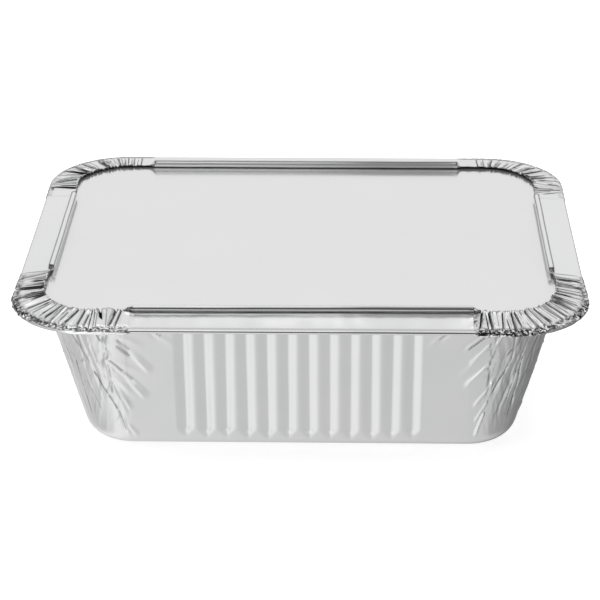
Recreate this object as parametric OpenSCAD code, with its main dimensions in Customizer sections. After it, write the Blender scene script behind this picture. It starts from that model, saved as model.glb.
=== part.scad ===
// Shallow rectangular take-away container: a tray pressed from one sheet of
// aluminium foil, closed with a foil-faced board lid. The tray's ledge carries
// the lid, and the tray's rim is folded over the lid's edge all round, flat
// along the four sides and gathered into pleats at the four corners.
// Millimetres. Origin: middle of the base's underside. +X right, +Y back, +Z up.

/* [Overall] */
// Length of the folded rim, along X
rim_w = 145; // [130:1:180]
// Depth of the folded rim, along Y
rim_d = 118; // [108:1:140]
// Height of the underside of the ledge above the surface it stands on
ledge_z = 40.7; // [34:0.1:52]
// Corner radius of the rim's outer edge
rim_r = 21.1; // [19:0.1:24]

/* [Foil] */
// Thickness of the foil
foil_t = 0.09; // [0.08:0.005:0.12]

/* [Walls] */
// Slope of the walls away from upright, in degrees
taper = 15.2; // [12:0.1:17]
// Corner radius of the walls where they meet the base
base_r = 12.2; // [10:0.1:13]
// Radius of the bend between the base and the walls
base_fillet = 5.8; // [4:0.1:6]
// Distance from the wall's top to the rim's outer edge
ledge_w = 6.1; // [5:0.1:7]

/* [Flutes] */
// Number of upright flutes pressed into each long wall
flutes_long = 12; // [8:1:12]
// Number of upright flutes pressed into each short wall
flutes_short = 7; // [4:1:7]
// Distance from one flute to the next
flute_pitch = 5.25; // [5.1:0.01:5.6]
// Depth of a flute
flute_h = 0.6; // [0.4:0.05:0.7]
// Height at which the flutes start
flute_z0 = 5.2; // [5:0.1:8]
// Distance from the flutes' top to the ledge
flute_top_gap = 2.6; // [2:0.1:5]

/* [Rim] */
// Gap under the folded rim for the lid's edge, foil to foil
fold_gap = 0.72; // [0.66:0.01:0.8]
// Width of the folded rim up to the start of its bead
flange_w = 6.95; // [6:0.05:7.5]
// Rise of the folded rim towards its bead, in degrees
flange_rise = 4; // [3:0.1:6]
// Outer diameter of the rolled bead along the rim's free edge
bead_d = 2.1; // [1.8:0.05:2.4]
// Length of the bead on each long side
bead_long = 88; // [70:1:88]
// Length of the bead on each short side
bead_short = 51; // [40:1:54]

/* [Corner pleats] */
// Number of pleats in each corner
pleats = 20; // [14:1:22]
// Height of a pleat at the rim's inner edge
pleat_h = 0.55; // [0.3:0.05:0.7]
// Width of the pleated rim, outer edge to inner edge
pleat_w = 8.9; // [8:0.1:9.3]

/* [Lid] */
// Thickness of the foil-faced board
lid_t = 0.6; // [0.5:0.01:0.6]
// Clearance between the lid's edge and the inside of the fold
lid_gap = 0.35; // [0.3:0.05:0.6]

/* [Hidden] */
$fn = 96;
t = foil_t;
// centres of the wall's corner arcs
wall_cx = rim_w / 2 - ledge_w - base_r - ledge_z * tan(taper);
wall_cy = rim_d / 2 - ledge_w - base_r - ledge_z * tan(taper);
// centres of the rim's corner arcs
rim_cx = rim_w / 2 - rim_r;
rim_cy = rim_d / 2 - rim_r;
// the plate of the ledge ends this far in from the rim's outer edge
plate_in = 1.0;
// middle of the foil in the ledge, and at the outer edge of the folded rim
ledge_m = ledge_z + t / 2;
fold_m = ledge_z + t + fold_gap + t / 2;
fold_r = (fold_m - ledge_m) / 2;
// where the wall turns out into the ledge
wall_bend = 0.8;
wall_end = base_r + ledge_z * tan(taper) + 1.2;

// ---- helpers -------------------------------------------------------------

function unit(v) = v / norm(v);
function perp(v) = [-v[1], v[0]];
// a polyline moved sideways by d, mitred at its corners
function shifted(p, d) = [for (i = [0:len(p) - 1])
    let (a = i > 0 ? unit(p[i] - p[i - 1]) : unit(p[1] - p[0]),
         b = i < len(p) - 1 ? unit(p[i + 1] - p[i]) : a,
         m = unit(perp(a) + perp(b)))
    p[i] + m * d / max(0.3, m * perp(a))];
function reversed(p) = [for (i = [len(p) - 1:-1:0]) p[i]];
// a strip of foil of thickness th around a polyline
function strip(p, th) = concat(shifted(p, -th / 2), reversed(shifted(p, th / 2)));
function arc(c, r, a0, a1, n) = [for (i = [0:n]) c + r * [cos(a0 + (a1 - a0) * i / n), sin(a0 + (a1 - a0) * i / n)]];

// ---- walls and base ------------------------------------------------------

// Foil's middle line from the base to the ledge, as [distance out from the
// corner arcs' centre, height].
wall_mid = let (
    r1 = base_fillet - t / 2,
    // middle line of the straight wall: distance out at height z
    off = t / 2 / cos(taper),
    half = (90 - taper) / 2,
    // corner point between the base's and the wall's middle lines
    cr = base_r - off + t / 2 * tan(taper),
    cb = r1 * tan(half),
    r2 = wall_bend,
    top = [base_r - off + ledge_m * tan(taper), ledge_m],
    ct = r2 * tan(half))
    concat(
        [[0, t / 2]],
        arc([cr - cb, t / 2 + r1], r1, -90, -taper, 9),
        arc([top[0] + ct, ledge_m - r2], r2, 180 - taper, 90, 5),
        [[wall_end, ledge_m]]);

module wall_section() {
    polygon(strip(wall_mid, t));
}

// one straight wall of length len, its foot on the X axis side facing -Y
module wall_run(len) {
    rotate([90, 0, 90]) translate([0, 0, -len / 2]) mirror([1, 0, 0]) linear_extrude(height = len) wall_section();
}

// A flute is a shallow V groove with sloping ends. It is made of two closed
// wedges: one adds foil behind the wall, one cuts the groove into its front.
// Local frame: x along the wall, y into the wall, z up the slope.
// a, b: [left, right] half widths at the wedge's foot and at its edge.
module wedge(a, b, y0, y1, s0, s1, e) {
    polyhedron(
        points = [[-a[0], y0, s0], [a[1], y0, s0], [a[1], y0, s1], [-a[0], y0, s1],
                  [-b[0], y1, s0 + e], [b[1], y1, s0 + e], [b[1], y1, s1 - e], [-b[0], y1, s1 - e]],
        faces = [[3, 2, 1, 0], [4, 5, 6, 7], [1, 5, 4, 0], [2, 6, 5, 1], [3, 7, 6, 2], [0, 4, 7, 3]]);
}

flute_foot = [2.15, 1.95];
flute_edge = [0.15, 0.15];
flute_end = 1.4;
flute_s0 = flute_z0 / cos(taper);
flute_s1 = (ledge_z - flute_top_gap) / cos(taper);

// the flank's run for a depth y into the wall, on side k
function flank(k) = (flute_foot[k] - flute_edge[k]) / flute_h;
function back_w(k, y) = flute_foot[k] - y * flank(k);
function front_w(k, y) = back_w(k, y) - t * sqrt(1 + flank(k) * flank(k));

module flute_back() {
    y0 = -t / 2;
    e = flute_end / flute_h;
    wedge([back_w(0, y0), back_w(1, y0)], [back_w(0, flute_h), back_w(1, flute_h)], y0, flute_h,
          flute_s0 + e * y0, flute_s1 - e * y0, e * (flute_h - y0));
}

module flute_front() {
    y0 = -t - 0.05;
    y1 = flute_h - t;
    e = flute_end / flute_h;
    w = t * sqrt(1 + e * e);
    wedge([front_w(0, y0), front_w(1, y0)], [front_w(0, y1), front_w(1, y1)], y0, y1,
          flute_s0 + e * y0 + w, flute_s1 - e * y0 - w, e * (y1 - y0));
}

// puts children on the inside of a wall whose corner arcs' centres lie at
// distance c from the middle, facing -Y
module on_wall(c) {
    translate([0, -c - base_r, 0]) rotate([taper, 0, 0]) translate([0, t, 0]) children();
}

module flute_row(n, c) {
    for (i = [0:n - 1]) translate([(i - (n - 1) / 2) * flute_pitch, 0, 0]) on_wall(c) children();
}

module four_walls() {
    for (k = [0, 180]) {
        rotate(k) flute_row(flutes_long, wall_cy) children();
        rotate(k + 90) flute_row(flutes_short, wall_cx) children();
    }
}

module body() {
    difference() {
        union() {
            translate([-wall_cx, -wall_cy, 0]) cube([2 * wall_cx, 2 * wall_cy, t]);
            for (k = [0, 180]) {
                rotate(k) translate([0, -wall_cy, 0]) wall_run(2 * wall_cx);
                rotate(k + 90) translate([0, -wall_cx, 0]) wall_run(2 * wall_cy);
            }
            for (x = [0, 1], y = [0, 1]) mirror([x, 0, 0]) mirror([0, y, 0])
                translate([wall_cx, wall_cy, 0]) rotate_extrude(angle = 90) wall_section();
            four_walls() flute_back();
        }
        four_walls() flute_front();
    }
}

// ---- ledge ---------------------------------------------------------------

// rounded rectangle: arcs of radius r about the points [+-cx, +-cy]
module outline(cx, cy, r) {
    square([2 * (cx + r), 2 * cy], center = true);
    square([2 * cx, 2 * (cy + r)], center = true);
    for (x = [-1, 1], y = [-1, 1]) translate([x * cx, y * cy]) circle(r = r);
}

// the plate laps 0.4 over the flat end of the walls' bend
module ledge() {
    translate([0, 0, ledge_z]) linear_extrude(height = t) difference() {
        outline(rim_cx, rim_cy, rim_r - plate_in);
        outline(wall_cx, wall_cy, wall_end - 0.4);
    }
}

// ---- folded rim ----------------------------------------------------------

// Foil's middle line of the fold, as [distance in from the rim's outer edge,
// height], from the ledge round the outer edge and back over the lid.
fold_mid = arc([fold_r + t / 2, (ledge_m + fold_m) / 2], fold_r, -90, -270, 4);
function flange_z(r) = fold_m + max(0, r - fold_r - t / 2) * tan(flange_rise);

// The straight runs end in a bead: the foil's free edge rolled up and over.
bead_r = bead_d / 2 - t / 2;
bead_c = [flange_w + bead_d / 2, flange_z(flange_w + bead_d / 2) + bead_r];
run_mid = concat(
    [[plate_in, ledge_m]],
    fold_mid,
    [[flange_w - 0.2, flange_z(flange_w - 0.2)]],
    arc(bead_c, bead_r, -90, 195, 18));

module folded_run(len) {
    translate([-len / 2, 0, 0]) rotate([90, 0, 90]) linear_extrude(height = len) polygon(strip(run_mid, t));
}

module folded_runs() {
    for (k = [0, 180]) {
        rotate(k) translate([0, -rim_d / 2, 0]) folded_run(bead_long);
        rotate(k + 90) translate([0, -rim_w / 2, 0]) folded_run(bead_short);
    }
}

// ---- pleated corners -----------------------------------------------------

// A corner's foil is a closed sheet swept round the corner from one straight
// run to the next. Its end rings lie inside the runs' foil and its inner edge
// inside the ledge's, so that the tray is one piece.
bite = 0.4;
lead_y = rim_cy - bead_short / 2;
lead_x = rim_cx - bead_long / 2;
function lerp(a, b, u) = a + (b - a) * u;
// stations: [where along the corner, pleat phase -1..1, pleat strength 0..1,
// thickness factor]; where < 0 is the lead from the short side, 0..1 the arc,
// > 1 the lead to the long side
stations = concat(
    [[-(lead_y + bite), 0, 0, 0.8], [-(lead_y - 0.4), 0, 0, 1]],
    [for (i = [1:3]) [-lead_y * (1 - i / 4), i % 2 == 1 ? 0.6 : -0.6, i / 4, 1]],
    [for (i = [0:2 * pleats]) [i % 2 == 0 ? i / (2 * pleats) : (i - 0.35) / (2 * pleats), i % 2 == 0 ? -1 : 1, 1, 1]],
    [for (i = [1:2]) [1 + lead_x * i / 3, i % 2 == 1 ? 0.6 : -0.6, 1 - i / 3, 1]],
    [[1 + lead_x - 0.4, 0, 0, 1], [1 + lead_x + bite, 0, 0, 0.8]]);

// point on the rim's outer edge and the direction inwards, corner at +X +Y
function edge_at(w) =
    w < 0 ? [[rim_w / 2, rim_cy + w], [-1, 0]] :
    w > 1 ? [[rim_cx - (w - 1), rim_d / 2], [0, -1]] :
    [[rim_cx, rim_cy] + rim_r * [cos(90 * w), sin(90 * w)], -[cos(90 * w), sin(90 * w)]];

pleat_steps = [0.3, 0.62, 1];
// middle line of the pleated sheet at a station: [distance in, height]
function pleat_mid(st) = concat(
    [[plate_in + 1, ledge_m], [plate_in - 0.1, ledge_m]],
    fold_mid,
    [for (k = pleat_steps)
        let (w = lerp(flange_w - 0.6, pleat_w + 0.25 * st[1], st[2]),
             r = lerp(fold_r + t / 2, w, k))
        [r, flange_z(r) + st[2] * (k * k * pleat_h * (1 + st[1]) / 2 + 0.12 * k)]]);

function ring(st) = let (
    m = pleat_mid(st),
    n = len(m),
    th = t * st[3],
    e = edge_at(st[0]),
    side = function (s) [for (i = [0:n - 1])
        // the foil inside the ledge's plate stays thinner than the plate
        let (h = i == 0 ? 0.4 * t : (i == 1 ? 0.45 * th : 0.5 * th),
             a = i > 0 ? unit(m[i] - m[i - 1]) : [-1, 0],
             b = i < n - 1 ? unit(m[i + 1] - m[i]) : a,
             q = unit(perp(a) + perp(b)))
        m[i] - (i >= n - len(pleat_steps) ? [0, 1] : q / max(0.3, q * perp(a))) * h * s])
    [for (p = concat(side(1), reversed(side(-1)))) [e[0][0] + e[1][0] * p[0], e[0][1] + e[1][1] * p[0], p[1]]];

module pleated_corner() {
    rings = [for (s = stations) ring(s)];
    n = len(rings[0]);
    m = len(rings);
    pts = [for (r = rings) each r];
    // the rings' ends are closed strip by strip, from one side of the foil to the other
    cap = [for (i = [0:n / 2 - 2]) [i, i + 1, n - 2 - i, n - 1 - i]];
    // both sides of the foil are cut along the same diagonals, so that a
    // twisted pleat keeps its thickness
    polyhedron(
        points = pts,
        faces = concat(
            [for (c = cap) each [[c[0], c[1], c[2]], [c[0], c[2], c[3]]]],
            [for (j = [0:m - 2], i = [0:n - 1])
                let (a = j * n + i, b = (j + 1) * n + i,
                     c = (j + 1) * n + (i + 1) % n, d = j * n + (i + 1) % n)
                each (i < n / 2 ? [[a, b, c], [a, c, d]] : [[a, b, d], [b, c, d]])],
            [for (c = cap) each [[(m - 1) * n + c[2], (m - 1) * n + c[1], (m - 1) * n + c[0]],
                                 [(m - 1) * n + c[3], (m - 1) * n + c[2], (m - 1) * n + c[0]]]]),
        convexity = 10);
}

module pleated_corners() {
    for (x = [0, 1], y = [0, 1]) mirror([x, 0, 0]) mirror([0, y, 0]) pleated_corner();
}

// ---- nodes ---------------------------------------------------------------

// The tray: base, fluted walls, ledge and folded rim, all one sheet of foil
module foil_tray() {
    color([0.84, 0.85, 0.86]) union() {
        body();
        ledge();
        folded_runs();
        pleated_corners();
    }
}

// The lid: a flat board, foil side up, lying on the ledge under the folded rim
module board_lid() {
    inset = t + lid_gap;
    color([0.9, 0.9, 0.9]) translate([0, 0, ledge_z + t]) linear_extrude(height = lid_t)
        outline(rim_cx, rim_cy, rim_r - inset);
}

foil_tray();
board_lid();
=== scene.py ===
import math
import bpy
import numpy as np
from mathutils import Matrix, Vector


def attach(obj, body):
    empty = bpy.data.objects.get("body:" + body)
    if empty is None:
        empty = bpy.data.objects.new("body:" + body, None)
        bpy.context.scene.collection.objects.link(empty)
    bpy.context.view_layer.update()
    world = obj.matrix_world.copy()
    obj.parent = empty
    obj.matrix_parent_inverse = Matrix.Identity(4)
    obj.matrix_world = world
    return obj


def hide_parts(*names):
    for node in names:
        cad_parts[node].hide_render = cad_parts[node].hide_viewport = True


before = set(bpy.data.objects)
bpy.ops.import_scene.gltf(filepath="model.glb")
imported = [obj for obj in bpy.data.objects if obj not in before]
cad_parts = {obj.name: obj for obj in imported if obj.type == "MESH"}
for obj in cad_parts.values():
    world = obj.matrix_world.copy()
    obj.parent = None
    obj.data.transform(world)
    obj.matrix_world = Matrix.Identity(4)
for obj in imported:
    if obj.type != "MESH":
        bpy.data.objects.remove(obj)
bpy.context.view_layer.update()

scene = bpy.context.scene
pi = math.pi

# ---------------------------------------------------------------------------
# Sizes, in millimetres, as in the CAD model
# ---------------------------------------------------------------------------
W, D = 145.0, 118.0
T = 0.09
LEDGE = 40.7
LEDGE_M = LEDGE + T / 2
RIM_R = 21.1
RCX, RCY = W / 2 - RIM_R, D / 2 - RIM_R
TAPER = math.radians(15.2)
BASE_R, FILLET, LEDGE_W = 12.2, 5.8, 6.1
WCX = W / 2 - LEDGE_W - BASE_R - LEDGE * math.tan(TAPER)
WCY = D / 2 - LEDGE_W - BASE_R - LEDGE * math.tan(TAPER)
FOLD_M = LEDGE + T + 0.72 + T / 2
LID_Z0, LID_T = LEDGE + T, 0.6
PLATE_IN = 1.0
MM = 0.001


# ---------------------------------------------------------------------------
# Helpers
# ---------------------------------------------------------------------------
def smooth(x, a, b):
    """0 before a, 1 after b, smooth between."""
    u = np.clip((np.asarray(x, float) - a) / (b - a), 0, 1)
    return u * u * (3 - 2 * u)


def hash2(i, j, seed):
    i = np.asarray(i, np.int64)
    j = np.asarray(j, np.int64)
    n = (i * 374761393 + j * 668265263 + seed * 974634777) & 0xFFFFFFFF
    n = ((n ^ (n >> 13)) * 1274126177) & 0xFFFFFFFF
    n = n ^ (n >> 16)
    return (n & 0xFFFF) / 32767.5 - 1.0


def noise2(x, y, seed=0):
    """Smooth noise from -1 to 1 over a plane."""
    x = np.asarray(x, float)
    y = np.asarray(y, float)
    xi, yi = np.floor(x), np.floor(y)
    fx, fy = x - xi, y - yi
    ux, uy = fx * fx * (3 - 2 * fx), fy * fy * (3 - 2 * fy)
    a, b = hash2(xi, yi, seed), hash2(xi + 1, yi, seed)
    c, d = hash2(xi, yi + 1, seed), hash2(xi + 1, yi + 1, seed)
    return (a * (1 - ux) + b * ux) * (1 - uy) + (c * (1 - ux) + d * ux) * uy


def facets2(x, y, seed=0):
    """Noise with straight creases: linear over the two triangles of each cell."""
    x = np.asarray(x, float)
    y = np.asarray(y, float)
    xi, yi = np.floor(x), np.floor(y)
    fx, fy = x - xi, y - yi
    a, b = hash2(xi, yi, seed), hash2(xi + 1, yi, seed)
    c, d = hash2(xi, yi + 1, seed), hash2(xi + 1, yi + 1, seed)
    low = a + (b - a) * fx + (d - b) * fy
    high = a + (d - c) * fx + (c - a) * fy
    return np.where(fx > fy, low, high)


def crease(x, y, p, q, width0, width1, tips=(0.25, 0.25)):
    """A straight fold from p to q: 1 on its line, falling straight to 0 at its width, with fading tips."""
    px, py = p
    dx, dy = q[0] - px, q[1] - py
    length = math.hypot(dx, dy)
    ux, uy = dx / length, dy / length
    along = ((x - px) * ux + (y - py) * uy) / length
    side = (x - px) * -uy + (y - py) * ux
    width = width0 + (width1 - width0) * np.clip(along, 0, 1)
    tent = np.clip(1 - np.abs(side) / width, 0, 1)
    fade = smooth(along, -0.02, tips[0]) * (1 - smooth(along, 1 - tips[1], 1.02))
    return tent * fade, side


def ridge(x, y, p, q, left, right, tips):
    """A fold from p down to q whose two flanks have their own widths."""
    px, py = p
    dx, dy = q[0] - px, q[1] - py
    length = math.hypot(dx, dy)
    ux, uy = dx / length, dy / length
    along = ((x - px) * ux + (y - py) * uy) / length
    side = (x - px) * -uy + (y - py) * ux
    left = left[0] + (left[1] - left[0]) * np.clip(along, 0, 1)
    tent = np.clip(1 - np.where(side < 0, -side / left, side / right), 0, 1)
    return tent * smooth(along, -0.02, tips[0]) * (1 - smooth(along, 1 - tips[1], 1.02))


def new_object(name, verts, faces, slots=None, smooth_angle=None, painted_shade=None, crimped=None):
    me = bpy.data.meshes.new(name)
    me.from_pydata((np.asarray(verts) * MM).tolist(), [], faces)
    me.update()
    if painted_shade is not None:
        # painted shade at each point, from 0 to 1: it darkens the foil's colour in and beside folds
        at = me.attributes.new("fold_painted_shade", "FLOAT", "POINT")
        at.data.foreach_set("value", np.clip(painted_shade, 0, 1).astype(np.float32))
    if crimped is not None:
        # where the foil gets painted dark specks of shade, from 0 to 1
        at = me.attributes.new("crimped", "FLOAT", "POINT")
        at.data.foreach_set("value", np.clip(crimped, 0, 1).astype(np.float32))
    me.polygons.foreach_set("use_smooth", [True] * len(me.polygons))
    if slots is not None:
        me.polygons.foreach_set("material_index", slots)
    if smooth_angle is not None:
        me.set_sharp_from_angle(angle=math.radians(smooth_angle))
    ob = bpy.data.objects.new(name, me)
    scene.collection.objects.link(ob)
    return ob


def grid_normals(m):
    """Normals of a grid [row, column, 3] whose columns close into a ring."""
    du = np.roll(m, -1, 1) - np.roll(m, 1, 1)
    dv = np.empty_like(m)
    dv[1:-1] = m[2:] - m[:-2]
    dv[0] = m[1] - m[0]
    dv[-1] = m[-1] - m[-2]
    n = np.cross(du, dv)
    size = np.linalg.norm(n, axis=2, keepdims=True)
    return n / np.maximum(size, 1e-9)


def ring_faces(rows, cols, start, flip):
    i, j = np.meshgrid(np.arange(rows - 1), np.arange(cols), indexing="ij")
    a = start + i * cols + j
    b = start + i * cols + (j + 1) % cols
    c = start + (i + 1) * cols + (j + 1) % cols
    d = start + (i + 1) * cols + j
    f = np.stack([a, b, c, d], -1).reshape(-1, 4)
    return f[:, ::-1] if flip else f


# ---------------------------------------------------------------------------
# The tray's base, walls and ledge
# ---------------------------------------------------------------------------
FLUTE_PITCH, FLUTE_H = 5.25, 0.62
FLUTES = {0: 12, 1: 7, 2: 12, 3: 7}  # front, right, back, left
FLUTE_SHIFT = {0: -0.1, 1: 0.0, 2: 0.0, 3: 0.0}
R_NOM = 17.5  # the corners' walls are laid flat at this radius
FOLDS_UP = 0.83  # the walls' folds are given for a wall that starts this much higher
FOLDS_OUT = {0: -0.34, 3: 0.34}  # and, at the front corners, this much further out


def flute_centres(side):
    n = FLUTES[side]
    return [(i - (n - 1) / 2) * FLUTE_PITCH + FLUTE_SHIFT[side] for i in range(n)]


def wall_columns(side):
    """Positions along a straight wall, from its left end to its right one seen from outside."""
    half = WCX if side % 2 == 0 else WCY
    centres = flute_centres(side)
    marks = []
    for c in centres:
        if side == 0:
            marks += [c + d for d in (-2.6, -2.1, -1.65, -1.1, -0.55, -0.1, 0.1, 0.6, 1.15, 1.65, 2.1)]
        else:
            marks += [c + d for d in (-2.6, -2.1, -1.5, -0.1, 0.1, 1.65, 2.1)]
    first, last = marks[0], marks[-1]
    step = 0.23 if side == 0 else 1.05
    left = np.linspace(-half, first, max(2, int(round((first + half) / step))) + 1)[:-1]
    right = np.linspace(last, half, max(2, int(round((half - last) / step))) + 1)[1:]
    return np.concatenate([left, marks, right])


CORNER_N = (140, 46, 46, 140)  # front right, back right, back left, front left
cols = []  # (side or corner, straight?, position, centre x, y, normal x, y)
for side in range(4):
    turn = side * pi / 2
    ca, sa = math.cos(turn), math.sin(turn)
    for x in wall_columns(side):
        half = WCY if side % 2 == 0 else WCX
        px, py = x, -half
        cols.append((side, 1, x, ca * px - sa * py, sa * px + ca * py, sa, -ca))
    # the corner after this wall, going round to the right
    ex, ey = (WCX, WCY) if side % 2 == 0 else (WCY, WCX)
    qx, qy = ex, -ey
    ox, oy = ca * qx - sa * qy, sa * qx + ca * qy
    n_c = CORNER_N[side]
    for k in range(1, n_c):
        ang = -pi / 2 + (pi / 2) * k / n_c
        nx, ny = math.cos(ang), math.sin(ang)
        cols.append((side, 0, (pi / 2) * k / n_c, ox, oy, ca * nx - sa * ny, sa * nx + ca * ny))
cols = np.array(cols)
NC = len(cols)
c_side, c_straight, c_pos = cols[:, 0].astype(int), cols[:, 1] > 0.5, cols[:, 2]
c_xy, c_n = cols[:, 3:5], cols[:, 5:7]

# rows of the profile: [kind, distance out, height]
r1 = FILLET - T / 2
off = T / 2 / math.cos(TAPER)
half_turn = (pi / 2 - TAPER) / 2
cr = BASE_R - off + T / 2 * math.tan(TAPER)
cb = r1 * math.tan(half_turn)
top_r = BASE_R - off + LEDGE_M * math.tan(TAPER)
BEND = 0.8
ct = BEND * math.tan(half_turn)
prof = []
for k in range(8):
    a = -pi / 2 + (pi / 2 - TAPER) * k / 8
    prof.append((cr - cb + r1 * math.cos(a), T / 2 + r1 + r1 * math.sin(a)))
z_start = T / 2 + r1 + r1 * math.sin(-TAPER)
z_end = LEDGE_M - BEND + BEND * math.sin(TAPER)
WALL_ROWS = 67
first_wall = len(prof)
for k in range(WALL_ROWS + 1):
    z = z_start + (z_end - z_start) * k / WALL_ROWS
    prof.append((BASE_R - off + z * math.tan(TAPER), z))
last_wall = len(prof) - 1
for k in range(1, 4):
    a = pi - TAPER - (pi / 2 - TAPER) * k / 3
    prof.append((top_r + ct + BEND * math.cos(a), LEDGE_M - BEND + BEND * math.sin(a)))
prof = np.array(prof)


def corner_creases(corner):
    """The folds of one corner wall: (p, q, height, width at p, width at q, tips).
    Coordinates: w along the wall laid flat, 0 at the front or left end of the corner, and z."""
    rng = np.random.RandomState(40 + corner)
    full = R_NOM * pi / 2
    out = []

    def mir(w):
        return full - w

    for end in (0, 1):
        m = (lambda w: w) if end == 0 else mir
        seam = rng.uniform(3.3, 4.6)
        # fan of ridges from the seam down over the flat panel
        z = 37.5
        while z > 10.0:
            slope = rng.uniform(0.9, 1.5) * (1.0 if z < 34 else 0.62)
            reach = rng.uniform(5.0, 9.5) * (1.15 if z > 30 else 0.85)
            p = (m(seam + rng.uniform(-0.8, 0.2)), z)
            q = (m(seam - reach), z - reach * slope)
            h = rng.uniform(0.16, 0.34)
            out.append((p, q, h, 0.55, rng.uniform(1.3, 2.1), (0.12, 0.5)))
            p2 = (p[0], p[1] - 0.9)
            q2 = (m(seam - reach * 0.62), z - 1.1 - reach * 0.62 * slope)
            out.append((p2, q2, -h * 0.9, 0.5, 0.8, (0.1, 0.4)))
            z -= rng.uniform(3.2, 6.0)
        # sharp short lines beside the seam
        for _ in range(7):
            z0 = rng.uniform(20, 39)
            w0 = seam + rng.uniform(-0.3, 2.2)
            dz = rng.uniform(3.5, 8)
            lean = rng.uniform(-0.1, 0.5)
            out.append(((m(w0), z0), (m(w0 - dz * lean), z0 - dz), rng.choice([-1, 1]) * rng.uniform(0.1, 0.2), 0.45, 0.45, (0.2, 0.3)))
    # long folds that run from the rim down towards the seams' feet
    n = 22
    for k in range(n):
        top = 3.0 + (full - 6.0) * (k + rng.uniform(-0.35, 0.35)) / (n - 1)
        mid = (top - full / 2) / (full / 2)
        foot = top + np.sign(mid) * (1 - abs(mid)) ** 0.5 * abs(mid) ** 0.35 * 7.0 + rng.uniform(-1.3, 1.3)
        foot = min(max(foot, 0.5), full - 0.5)
        z0 = rng.uniform(34, 41.5)
        z1 = rng.uniform(3.5, 16) if rng.rand() < 0.7 else rng.uniform(16, 26)
        share = (41 - z1) / 37
        q = (top + (foot - top) * share, z1)
        h = rng.uniform(0.08, 0.22) * (1 if rng.rand() < 0.5 else -1)
        out.append(((top, z0), q, h, rng.uniform(0.4, 0.6), rng.uniform(0.5, 0.9), (0.15, 0.35)))
    return out


def front_extra(corner):
    """Folds that the photograph shows clearly on the two front corners."""
    full = R_NOM * pi / 2
    out = []
    if corner == 3:  # front left: w runs from the left wall to the front wall
        m = lambda w: full - w
        for p, q, h, a, b, tips in [
            ((1.5, 36.5), (-1.9, 30.9), -0.30, 0.5, 0.9, (0.1, 0.3)),
            ((2.6, 38.2), (-5.4, 33.9), 0.34, 0.5, 2.0, (0.1, 0.5)),
            ((4.6, 28.8), (-0.6, 22.6), -0.34, 0.5, 0.7, (0.05, 0.3)),
            ((4.4, 30.4), (-6.2, 24.4), 0.26, 0.7, 2.4, (0.1, 0.6)),
            ((3.6, 25.0), (-3.0, 17.0), 0.34, 0.6, 2.0, (0.1, 0.5)),
            ((3.9, 20.0), (0.6, 11.0), 0.30, 0.6, 1.6, (0.1, 0.4)),
            ((3.0, 11.5), (0.4, 4.6), 0.26, 0.7, 1.4, (0.2, 0.3)),
            ((-4.2, 39.8), (-9.0, 36.4), -0.22, 0.5, 0.8, (0.1, 0.4)),
            ((-7.0, 39.5), (-13.5, 33.8), 0.24, 0.6, 1.8, (0.2, 0.5)),
            ((8.6, 26.5), (4.0, 15.5), -0.34, 0.45, 0.5, (0.1, 0.15)),
            ((4.0, 15.5), (2.2, 7.0), -0.30, 0.5, 0.5, (0.1, 0.2)),
            ((9.8, 38.5), (8.6, 26.5), -0.22, 0.45, 0.45, (0.2, 0.1)),
            ((15.8, 38.0), (12.8, 22.0), -0.26, 0.45, 0.5, (0.2, 0.1)),
            ((12.8, 22.0), (13.5, 6.0), -0.22, 0.5, 0.5, (0.1, 0.3)),
        ]:
            out.append(((m(p[0]), p[1]), (m(q[0]), q[1]), h, a, b, tips))
    if corner == 0:  # front right: w runs from the front wall to the right wall
        for p, q, h, a, b, tips in [
            ((2.4, 31.6), (-3.4, 24.4), 0.12, 0.6, 1.5, (0.1, 0.5)),
            ((2.4, 39.6), (-3.2, 33.6), -0.30, 0.5, 0.7, (0.15, 0.3)),
            ((-5.4, 39.6), (-10.0, 35.6), -0.24, 0.5, 0.8, (0.1, 0.5)),
            ((-6.6, 39.4), (-11.4, 34.6), 0.20, 0.6, 1.2, (0.1, 0.5)),
            ((9.2, 28.6), (5.2, 18.6), -0.36, 0.45, 0.5, (0.1, 0.2)),
            ((8.6, 37.4), (8.9, 29.6), -0.22, 0.4, 0.45, (0.2, 0.1)),
            ((12.6, 29.6), (14.2, 9.0), -0.36, 0.45, 0.6, (0.1, 0.3)),
            ((10.6, 25.0), (8.8, 8.0), -0.16, 0.5, 0.6, (0.2, 0.3)),
        ]:
            out.append((p, q, h, a, b, tips))
    return out
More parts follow.
